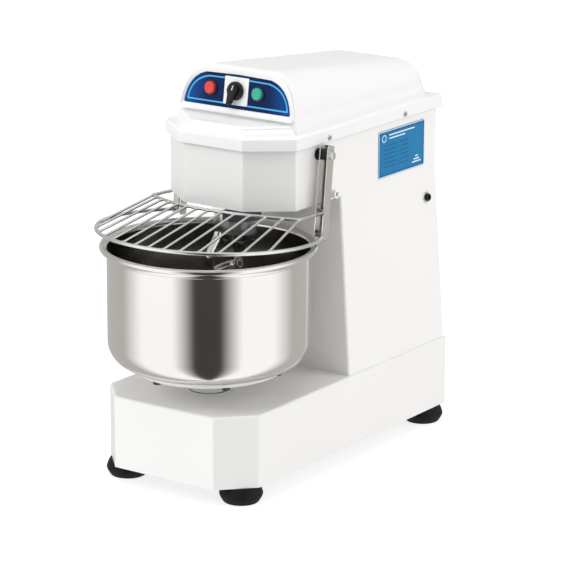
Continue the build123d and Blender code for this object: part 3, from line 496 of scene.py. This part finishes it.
def rounded(corners, radii, steps=6):
    """Closed polygon with its corners rounded to the given radii."""
    outline = []
    count = len(corners)
    for index in range(count):
        before, here, after = (Vector(corners[(index + k) % count]) for k in (-1, 0, 1))
        towards, onwards = (before - here).normalized(), (after - here).normalized()
        half = acos(max(-1, min(1, towards.dot(onwards)))) / 2
        start = here + towards * radii[index] / tan(half)
        end = here + onwards * radii[index] / tan(half)
        for step in range(steps + 1):
            share = step / steps
            blend = start.lerp(here, share).lerp(here.lerp(end, share), share)
            outline.append(tuple(blend))
    return outline


def rounded_box(width, height, radius, steps=6, centre=(0, 0)):
    """Rectangle with rounded corners."""
    cx, cy = centre
    half_w, half_h = width / 2, height / 2
    corners = [(cx - half_w, cy - half_h), (cx + half_w, cy - half_h)]
    corners += [(cx + half_w, cy + half_h), (cx - half_w, cy + half_h)]
    return rounded(corners, [radius] * 4, steps)


def bezier(points, steps):
    """Points of a cubic curve, its first one left out."""
    a, b, c, d = (Vector(point) for point in points)
    curve = []
    for step in range(1, steps + 1):
        t = step / steps
        s = 1 - t
        curve.append(tuple(a * s**3 + b * 3 * s * s * t + c * 3 * s * t * t + d * t**3))
    return curve


def edge_round(radius, steps=4):
    """(inset, drop) pairs of a rounded edge, from the side wall to the top face."""
    turns = [pi / 2 * step / steps for step in range(steps + 1)]
    return [(radius * (1 - cos(turn)), radius * (1 - sin(turn))) for turn in turns]


def slab(shape, outline, place, low, high, edge=0.5, base_edge=0.0, steps=4):
    """Plate of an outline between two heights, its upper edge rounded; place maps points to space."""
    rows = [(base_edge, low), (0, low + base_edge)] if base_edge else [(0, low)]
    rows += [(shift, high - drop) for shift, drop in edge_round(edge, steps)]
    rings = [[place(x, y, height) for x, y in inset(outline, shift)] for shift, height in rows]
    return shape.skin(rings)


def frame_band(shape, outer, inner, place, low, high, edge=0.3):
    """Flat band between two matching outlines."""
    rings = [
        [place(x, y, low) for x, y in outer],
        [place(x, y, high - edge) for x, y in outer],
        [place(x, y, high) for x, y in inset(outer, edge)],
        [place(x, y, high) for x, y in inset(inner, -edge)],
        [place(x, y, high - edge) for x, y in inner],
        [place(x, y, low) for x, y in inner],
    ]
    rings.append(rings[0])
    return shape.skin(rings, (False, False))


# ---- bowl ---------------------------------------------------------------------------------------
def add_bowl():
    """Spun steel bowl with a rolled bead round its rim, its inner face in darker steel as painted shade."""
    low, high = box_mm("bowl")
    bead, gauge, corner = 5.9, 2.0, 50.0
    bead_r, bead_z = (high.x - low.x) / 2 - bead, high.z - bead
    wall, floor = bead_r - 8.9, low.z
    profile = [(3, floor), (60, floor), (wall - corner, floor)]
    profile += arc((wall - corner, floor + corner), corner, -84, 0, 14)
    profile += [(wall, floor + 90), (wall, floor + 150), (wall, bead_z - 15)]
    profile += [(wall + 0.9, bead_z - 14), (wall + 0.9, bead_z - 12), (wall + 2.5, bead_z - 9)]
    profile += arc((bead_r, bead_z), bead, -135, 150, 22)
    profile += [(wall + 0.4, bead_z + 1.6), (wall - 1.5, bead_z - 1.5), (wall - gauge, bead_z - 6)]
    profile += [(wall - gauge, floor + 150), (wall - gauge, floor + 90)]
    profile += arc((wall - corner, floor + corner), corner - gauge, 0, -84, 14)
    profile += [(wall - corner, floor + gauge), (60, floor + gauge), (3, floor + gauge)]
    shape = lathe(Shape(), profile, (0, (low.y + high.y) / 2, 0), steps=256)
    bowl = add_piece("mixing_bowl", shape, "bowl", "stainless", "bowl", crease=40)
    # The inner face takes the darker steel, which paints the shade inside the bowl.
    bowl.data.materials.append(bowl_inside_painted_shade)
    inner_row = profile.index((wall - gauge, floor + 150))
    for index, polygon in enumerate(bowl.data.polygons):
        polygon.material_index = int(index // 256 >= inner_row - 1)


def add_hub_seal():
    """Flat ring round the turning hub, on top of the base."""
    low, high = box_mm("bowl")
    top = box_mm("base_casing")[1].z
    profile = [(40.3, top - 1), (40.3, top + 1.2), (45.6, top + 1.4), (46.6, top + 0.8), (46.8, top - 1)]
    shape = lathe(Shape(), profile, (0, (low.y + high.y) / 2, 0), steps=96, caps=(False, False))
    add_piece("hub_seal", shape, "frame", "white_plastic")


# ---- hook and breaker bar -----------------------------------------------------------------------
def add_hook():
    """Round bar wound into a spiral, welded under a bolted flange."""
    low, high = box_mm("spiral_hook")
    axis_y = joints["hook_spin"]["pos_m"][1] * 1000
    turn_radius, rod, turns = 70.0, 12.0, 1.35
    flange_low, helix_high, helix_low = high.z - 12, 400.0, 270.0
    path = [(0, axis_y, flange_low - drop) for drop in (0, 12, 24)]
    start = radians(150)
    lead = Vector((turn_radius * cos(start), axis_y + turn_radius * sin(start), helix_high))
    sweep = Vector((-sin(start), cos(start), -0.15)).normalized()
    crook = [Vector(path[-1]), Vector((0, axis_y, helix_high + 8)), lead - sweep * 46, lead]
    path += bezier(crook, 18)
    for step in range(1, 91):
        share = step / 90
        angle = start + share * turns * 2 * pi
        level = helix_high + share * (helix_low - helix_high)
        path.append((turn_radius * cos(angle), axis_y + turn_radius * sin(angle), level))
    shape = tube(Shape(), path, rod, 32)
    profile = [(33, 0), (35, 1), (35, 11), (34, 12)]
    lathe(shape, profile, (0, axis_y, flange_low), steps=72)
    collar = [(rod - 1, -9), (rod + 1.5, -6), (rod + 5, -2), (rod + 9, 0.5)]
    lathe(shape, collar, (0, axis_y, flange_low), steps=48)
    add_piece("spiral_hook_bar", shape, "hook", "stainless", "spiral_hook")


# ---- bowl guard ---------------------------------------------------------------------------------
ring_radius, ring_rod, ring_slope = 224.7, 3.8, 0.062
ring_middle = Vector((0, -191.5, 514.5))
rear_rod_z, rear_rod_rise, rear_rod, bar_rod = 552.0, 11.0, 3.3, 2.5
rear_middle_y, rear_corner = -210.0, (180.0, -135.0)
arm_middle = 177.0


def ring_point(angle):
    """Point on the tilted guard ring."""
    back = Vector((0, 1, -ring_slope)).normalized()
    return ring_middle + Vector((1, 0, 0)) * ring_radius * cos(angle) + back * ring_radius * sin(angle)


def rear_rod_y(x):
    """Shallow arc of the rear rod."""
    rise = rear_corner[1] - rear_middle_y
    bow = (rear_corner[0] ** 2 + rise**2) / (2 * rise)
    return rear_middle_y + bow - sqrt(bow**2 - x**2)


def rear_rod_height(x):
    """Height of the rear rod, whose arc leans back towards its corners."""
    share = (rear_corner[1] - rear_rod_y(x)) / (rear_corner[1] - rear_middle_y)
    return rear_rod_z + rear_rod_rise * share


def add_guard():
    """Welded wire guard: front ring, rear rod and the bars between them."""
    end = acos(arm_middle / ring_radius)
    sweep = pi + 2 * end
    path = [ring_point(pi - end + sweep * step / 160) for step in range(161)]
    add_piece("guard_ring_wire", tube(Shape(), path, ring_rod), "guard", "stainless", "guard_ring",
              look=guard_wire)

    corner_x, corner_y = rear_corner
    side_end_y = box_mm("guard_rear_rod")[1].y
    path = [(-arm_middle, side_end_y - 3, rear_rod_z - 4)]
    path += [(-corner_x + 0.2, corner_y + 9, rear_rod_z - 0.4)]
    xs = [-corner_x + 2 * corner_x * step / 60 for step in range(61)]
    path += [(x, rear_rod_y(x), rear_rod_height(x)) for x in xs]
    path += [(corner_x - 0.2, corner_y + 9, rear_rod_z - 0.4)]
    path += [(arm_middle, side_end_y - 3, rear_rod_z - 4)]
    add_piece("guard_rear_wire", tube(Shape(), path, rear_rod), "guard", "stainless", "guard_rear_rod",
              look=guard_wire)

    bars, welds = Shape(), Shape()
    for index in range(7):
        front_x = min((index + 0.5) * 32.5, 207.0)
        rear_x = front_x * corner_x / 207.0
        for side in (-1, 1):
            angle = -acos(side * front_x / ring_radius)
            start = ring_point(angle)
            finish = Vector((side * rear_x, rear_rod_y(rear_x), rear_rod_height(rear_x)))
            tube(bars, [start.lerp(finish, step / 4) for step in range(5)], bar_rod, 20)
            way = (finish - start).normalized()
            for spot, way_in, wire in ((start, way, ring_rod), (finish, -way, rear_rod)):
                blob = [(1.2, wire * 0.2), (3.5, wire * 0.6), (3.8, wire)]
                blob += [(3.3, wire + 1.5), (2.6, wire + 3)]
                lathe(welds, blob, spot, way_in, 20)
    add_piece("guard_bar_wires", bars, "guard", "stainless", "guard_bars", look=guard_wire)
    add_piece("guard_bar_welds", welds, "guard", "stainless", look=guard_wire)


def add_pivots():
    """Shouldered pivot screws with domed heads through the guard's arms."""
    pins, bushes = Shape(), Shape()
    _, y, z = (value * 1000 for value in joints["guard_lift"]["pos_m"])
    reach = box_mm("guard_pivot_pins")[1].x
    arm_outer = reach - 7.5
    profile = [(5, 138), (6, 139), (6, arm_outer), (11, arm_outer), (11, arm_outer + 1.2)]
    profile += [(9.6, arm_outer + 1.6), (9.6, reach - 3.5), (8.6, reach - 1.4)]
    profile += [(6, reach - 0.3), (3, reach)]
    bush = [(9.4, 169.3), (10, 170), (10, 183.5), (9.4, 184.2)]
    for side in (-1, 1):
        lathe(pins, profile, (0, y, z), (side, 0, 0), 48)
        lathe(bushes, bush, (0, y, z), (side, 0, 0), 48)
    add_piece("pivot_screws", pins, "guard", "zinc_steel", "guard_pivot_pins")
    add_piece("pivot_bushes", bushes, "guard", "black_plastic")


def add_studs():
    """Stop studs beside the head: a grooved dark collar and a white sleeve with a socket."""
    low, high = box_mm("guard_stop_studs")
    y, z = (low.y + high.y) / 2, (low.z + high.z) / 2
    wall = 156.2
    collars, sleeves, sockets = Shape(), Shape(), Shape()
    end = box_mm("guard_stop_caps")[1].x
    collar = [(7.4, wall), (8, wall + 0.6), (8, wall + 5), (7.2, wall + 5.6), (7.2, wall + 8)]
    collar += [(8, wall + 8.6), (8, high.x)]
    sleeve = [(8.2, high.x), (9.2, high.x + 1), (9.2, end - 1.8), (8.7, end - 0.5), (7.8, end)]
    sleeve += [(5.2, end), (4.7, end - 0.6), (4.6, end - 9)]
    for side in (-1, 1):
        lathe(collars, collar, (0, y, z), (side, 0, 0), 48)
        lathe(sleeves, sleeve, (0, y, z), (side, 0, 0), 48)
        lathe(sockets, [(4.55, end - 9), (4.55, end - 8)], (0, y, z), (side, 0, 0), 32)
    add_piece("stop_stud_collars", collars, "frame", "dark_steel", "guard_stop_studs")
    add_piece("stop_stud_sleeves", sleeves, "frame", "white_plastic", "guard_stop_caps")
    add_piece("stop_stud_sockets", sockets, "frame", "dark_steel", look=socket_black)


# ---- feet and bolts -----------------------------------------------------------------------------
def add_feet():
    """Turned rubber feet with a grooved tread and a waist."""
    profile = [(15, 0.6), (33, 0), (35, 0.4), (36.6, 2), (37.6, 3.4), (39.8, 7), (42, 11), (43.3, 14)]
    profile += [(44, 17), (43.8, 19.5), (42.6, 21.4), (42.2, 22.4), (42.2, 24), (41.4, 26.6), (38.6, 32)]
    profile += [(36.4, 35.4), (35, 36)]
    for name in nodes:
        if name.startswith("foot_") and name != "foot_bolts":
            low, high = box_mm(name)
            centre = ((low.x + high.x) / 2, (low.y + high.y) / 2, 0)
            shape = lathe(Shape(), profile, centre, steps=96)
            add_piece(f"{name}_rubber", shape, "frame", "foot_rubber", name)


def add_side_bolts():
    """Socket screws with wide washers in the column's sides."""
    low, high = box_mm("column_side_bolts")
    narrowing, column_rise, top_half, column_top = 29, 375.5, 155, 561
    slope = atan2(narrowing, column_rise)
    spot_y, spot_z = (low.y + high.y) / 2, 497.0
    washers, screws = Shape(), Shape()
    spot_x = top_half + (column_top - spot_z) * tan(slope)
    for side in (-1, 1):
        axis = (side * cos(slope), 0, sin(slope))
        centre = (side * spot_x, spot_y, spot_z)
        washer = [(11.3, -0.6), (11.6, 0.3), (11.4, 1.4), (10.6, 2.0), (7, 2.1)]
        head = [(8, 2), (8, 7), (7.3, 8), (4.8, 8), (4.5, 7.4), (4.5, 4.6)]
        lathe(washers, washer, centre, axis, 48)
        lathe(screws, head, centre, axis, 40)
    add_piece("side_bolt_washers", washers, "frame", "zinc_steel")
    add_piece("side_bolt_screws", screws, "frame", "black_plastic", "column_side_bolts")


# ---- lid ----------------------------------------------------------------------------------------
control_spot = Vector(joints["selector_turn"]["pos_m"]) * 1000
panel_out = Vector(joints["selector_turn"]["axis"])
panel_up = Vector((0, panel_out.z, -panel_out.y))
skirt_low, lid_high = box_mm("top_cover")
skirt_top = skirt_low.z + 26
panel_foot_up = (skirt_top - control_spot.z) / panel_up.z


def on_panel(x, up, out):
    """Point of the tilted control panel, up measured from the controls."""
    middle = control_spot - Vector((control_spot.x, 0, 0))
    return middle + Vector((x, 0, 0)) + panel_up * up + panel_out * out


def dome_outline(half, height, crown):
    """Right half of the dome's cross-section, from its foot to the middle of its top."""
    waist = (half - 9, 0.27 * height)
    shoulder = (0.76 * waist[0] + 9, height)
    side = [(half + 4, -1), (half + 1.2, 1.0), (half - 0.4, 3.5), (half - 1.2, 8)]
    side += [(half - 1.2 - 7.8 * k / 4, 8 + (waist[1] - 8) * k / 4) for k in range(1, 5)]
    curve = bezier((waist, (waist[0] - 3, 0.66 * height), shoulder, (crown, height)), 26)
    top = [(crown * (1 - k / 6), height) for k in range(1, 7)]
    return side + curve + top


def full_outline(half):
    """Mirror a half outline to the other side."""
    return half + [(-x, y) for x, y in reversed(half[:-1])]


def shrink(outline, amount):
    """Pull an open outline inwards, its feet kept on the skirt."""
    reach = max(x for x, _ in outline)
    height = max(y for _, y in outline)
    return [(x * (1 - amount / reach), y * (1 - amount / height) if y > 0 else y) for x, y in outline]


def add_lid():
    """Moulded lid: a dome that falls towards the back, a stepped neck and a deep skirt."""
    front_height = (lid_high.z - skirt_top) / panel_up.z
    front_half, front_crown, rear_half, rear_height, rear_crown = 149, 69, 142, 74, 60
    front = full_outline(dome_outline(front_half, front_height, front_crown))
    rear = full_outline(dome_outline(rear_half, rear_height, rear_crown))
    rear_y, round_rear, round_front = 414.0, 45.0, 3.0

    def station(share, amount, push):
        ring = []
        for (fx, fy), (rx, ry) in zip(shrink(front, amount), shrink(rear, amount)):
            start = on_panel(fx, panel_foot_up + fy, 0)
            finish = Vector((rx, rear_y - round_rear, skirt_top + ry))
            ring.append(start.lerp(finish, share) + Vector((0, push, 0)))
        return ring

    rings = [station(0, shift, drop) for shift, drop in reversed(edge_round(round_front))]
    rings += [station(share / 24, 0, 3.0 * (1 - share / 24)) for share in range(1, 24)]
    rings += [station(1, shift, round_rear - drop) for shift, drop in edge_round(round_rear, 12)]
    shape = Shape().skin(rings)

    def neck(half_flat, half_wide, nose, shoulder):
        corners = [(-half_flat, nose), (half_flat, nose), (half_wide, shoulder)]
        corners += [(half_wide, shoulder + 70), (-half_wide, shoulder + 70), (-half_wide, shoulder)]
        return rounded(corners, (10, 10, 14, 4, 4, 14), 8)

    low_neck, high_neck = neck(74, 145, -182, -109), neck(66, 140, -168, -100)
    neck_high = skirt_top + 18
    rings = []
    flare = [(0, -4.5), (2.2, -1.8), (6, 0)]
    for height, out in flare:
        rings.append([Vector((x, y, skirt_top + height)) for x, y in inset(low_neck, out + 1.5)])
    for shift, drop in edge_round(6, 6):
        rings.append([Vector((x, y, neck_high - drop)) for x, y in inset(high_neck, shift)])
    shape.skin(rings)

    half, nose, tail, across, along = 164.2, -187.0, 420.0, 86.0, 69.0
    corners = [(-half + across, nose), (half - across, nose), (half, nose + along), (half, tail)]
    corners += [(-half, tail), (-half, nose + along)]
    skirt = rounded(corners, (12, 12, 12, 9, 9, 12), 8)
    rows = [(3, skirt_top - 5), (3, skirt_low.z + 1), (2.2, skirt_low.z), (0.8, skirt_low.z)]
    rows += [(0, skirt_low.z + 1)]
    rows += [(shift, skirt_top - drop) for shift, drop in edge_round(4.5, 6)]
    shape.skin([[Vector((x, y, z)) for x, y in inset(skirt, shift)] for shift, z in rows])
    add_piece("lid", shape, "frame", "white_plastic", "top_cover", crease=28)


# ---- control panel ------------------------------------------------------------------------------
def panel_outline(half_low, half_top, low, high, corner):
    """D shape of the bezel and the fascia, anticlockwise from the middle of its foot."""
    height = high - low
    pull = (half_low - 3, low + 0.5 * height)
    side = bezier(((half_low, low), pull, (0.76 * half_low + 9, high), (half_top, high)), 48)
    side = [point for point in side if point[1] >= low + corner][:40]
    foot, turn, rise = (Vector(p) for p in ((half_low - corner, low), (half_low, low), side[0]))
    bend = [foot.lerp(turn, k / 6).lerp(turn.lerp(rise, k / 6), k / 6) for k in range(6)]
    right = [(half_low * 0.4, low)] + [tuple(point) for point in bend] + side[0:-1:2] + [side[-1]]
    right.append((0, high))
    return [(0, low)] + right + [(-x, y) for x, y in reversed(right[:-1])]


def panel_level(node, end):
    """Distance of a node's lower or upper end up the panel from the controls."""
    return (box_mm(node)[end].z - control_spot.z) / panel_up.z


def add_panel():
    """Bezel, printed fascia film and the fine line printed round it."""
    foot, high = panel_level("panel_bezel", 0), panel_level("panel_bezel", 1) - 0.6
    low, bezel_proud = foot - 9.0, 8.0
    outer = panel_outline(139.5, 69, low, high, 8)
    in_low, in_high = foot + 3.6, high - 13.5
    inner = panel_outline(131, 59, in_low, in_high, 4)
    rings = [[on_panel(x, y, 0) for x, y in outer]]
    for shift, drop in edge_round(2.2):
        rings.append([on_panel(x, y, bezel_proud - drop) for x, y in inset(outer, shift)])
    rings += [[on_panel(x, y, 5.0) for x, y in inset(inner, -1.0)]]
    rings += [[on_panel(x, y, 4.6) for x, y in inset(inner, -0.3)]]
    rings += [[on_panel(x, y, 2.2) for x, y in inner]]
    add_piece("bezel", Shape().skin(rings, (True, False)), "frame", "white_plastic", "panel_bezel")
    film = panel_outline(130.8, 59, in_low + 0.15, in_high - 0.15, 4)
    shape = slab(Shape(), film, on_panel, 0.3, 2.5, 0.3, steps=2)
    add_piece("fascia_film", shape, "frame", "blue_panel", "panel_fascia")
    band = panel_outline(124, 55, in_low + 7, in_high - 7, 3)
    within = panel_outline(120.5, 53, in_low + 10, in_high - 10, 2)
    line = frame_band(Shape(), band, within, on_panel, 2.3, 2.62, 0.08)
    add_piece("fascia_line", line, "frame", "blue_panel", look=cyan_print)


def node_x(node):
    low, high = box_mm(node)
    return (low.x + high.x) / 2


def add_buttons():
    """Dark collars and soft round caps of the stop and start buttons."""
    for name, slot in (("stop", "red_plastic"), ("start", "green_plastic")):
        body = f"{name}_button"
        centre = on_panel(node_x(body), 0, 0)
        collar = [(13.1, -16), (14, -16), (14, 2.5), (15.6, 2.5), (15.6, 5), (15.1, 6.1)]
        collar += [(14.2, 6.5), (13.4, 6.1), (13.1, 5)]
        lathe(ring_shape := Shape(), collar, centre, panel_out, 64, (False, False))
        add_piece(f"{body}_collar", ring_shape, "frame", "button_trim", f"{name}_button_ring")
        cap = [(12.6, -9), (12.6, 7.8), (12.2, 9.4), (11.2, 10.7), (9.6, 11.4), (8.6, 11.4)]
        cap += [(7.6, 10.9), (3, 10.7)]
        lathe(cap_shape := Shape(), cap, centre, panel_out, 64)
        add_piece(f"{body}_cap", cap_shape, body, slot, body)


def add_selector():
    """Rotary selector: a base ring, a disc and a pointer grip that tapers to its tail."""
    shape = Shape()
    centre = on_panel(control_spot.x, 0, 0)
    lathe(shape, [(3.9, -20), (3.9, 5.2)], centre, panel_out, 32)
    disc = [(18.2, 5.2), (19, 5.8), (19, 9.6), (18.4, 10.8), (17, 11.6), (14, 12.0)]
    lathe(shape, disc, centre, panel_out, 72)
    lean = radians(-18)

    def place(x, y, out):
        return on_panel(
            control_spot.x + x * cos(lean) - y * sin(lean), x * sin(lean) + y * cos(lean), out
        )

    grip = arc((0, 3), 10.5, -8, 188, 22) + arc((0, -26), 3.6, 198, 342, 10)
    slab(shape, grip, place, 9, 21.5, 2.6, steps=5)
    add_piece("selector_grip", shape, "selector", "black_plastic", "selector_knob")
    mark = slab(Shape(), rounded_box(1.8, 10, 0.6, 3, (0, 7)), place, 21.2, 21.75, 0.15, steps=2)
    add_piece("selector_mark", mark, "selector", "white_plastic", look=white_print)


# ---- side label ---------------------------------------------------------------------------------
def add_label():
    """Printed plate with a plain border, stripes and a round device, all of them generic."""
    low, high = box_mm("side_label")
    middle = (low + high) / 2
    width, height = high.y - low.y, high.z - low.z

    def place(y, z, out):
        return Vector((low.x + out, middle.y + y, middle.z + z))

    plate = slab(Shape(), rounded_box(width, height, 5), place, 0, 1.2, 0.4, steps=3)
    add_piece("label_plate", plate, "frame", "blue_label", "side_label")
    outer = rounded_box(width - 1.5, height - 1.5, 3.4)
    prints = frame_band(Shape(), outer, inset(outer, 1.5), place, 1.1, 1.32, 0.06)
    frame_band(prints, arc((-67, 33), 8, 0, 350, 28), arc((-67, 33), 6, 0, 350, 28), place, 1.1, 1.32, 0.06)
    for length, x, y in ((96, 0, 38), (60, -18, 31), (34, 57, -36), (22, 57, -30), (10, 57, -24)):
        slab(prints, rounded_box(length, 2.6, 0.8, 3, (x, y)), place, 1.1, 1.32, 0.06, steps=1)
    lines = frame_band(Shape(), inset(outer, 4), inset(outer, 5.6), place, 1.1, 1.32, 0.06)
    for row in range(6):
        slab(lines, rounded_box(46, 1.8, 0.6, 3, (-44, 17 - 9 * row)), place, 1.1, 1.32, 0.06, steps=1)
        slab(lines, rounded_box(34, 1.8, 0.6, 3, (8, 17 - 9 * row)), place, 1.1, 1.32, 0.06, steps=1)
    add_piece("label_lines", lines, "frame", "blue_label", look=label_line)
    add_piece("label_print", prints, "frame", "blue_label", look=white_print)


add_bowl()
add_hub_seal()
add_hook()
add_guard()
add_pivots()
add_studs()
add_feet()
add_side_bolts()
add_lid()
add_panel()
add_buttons()
add_selector()
add_label()
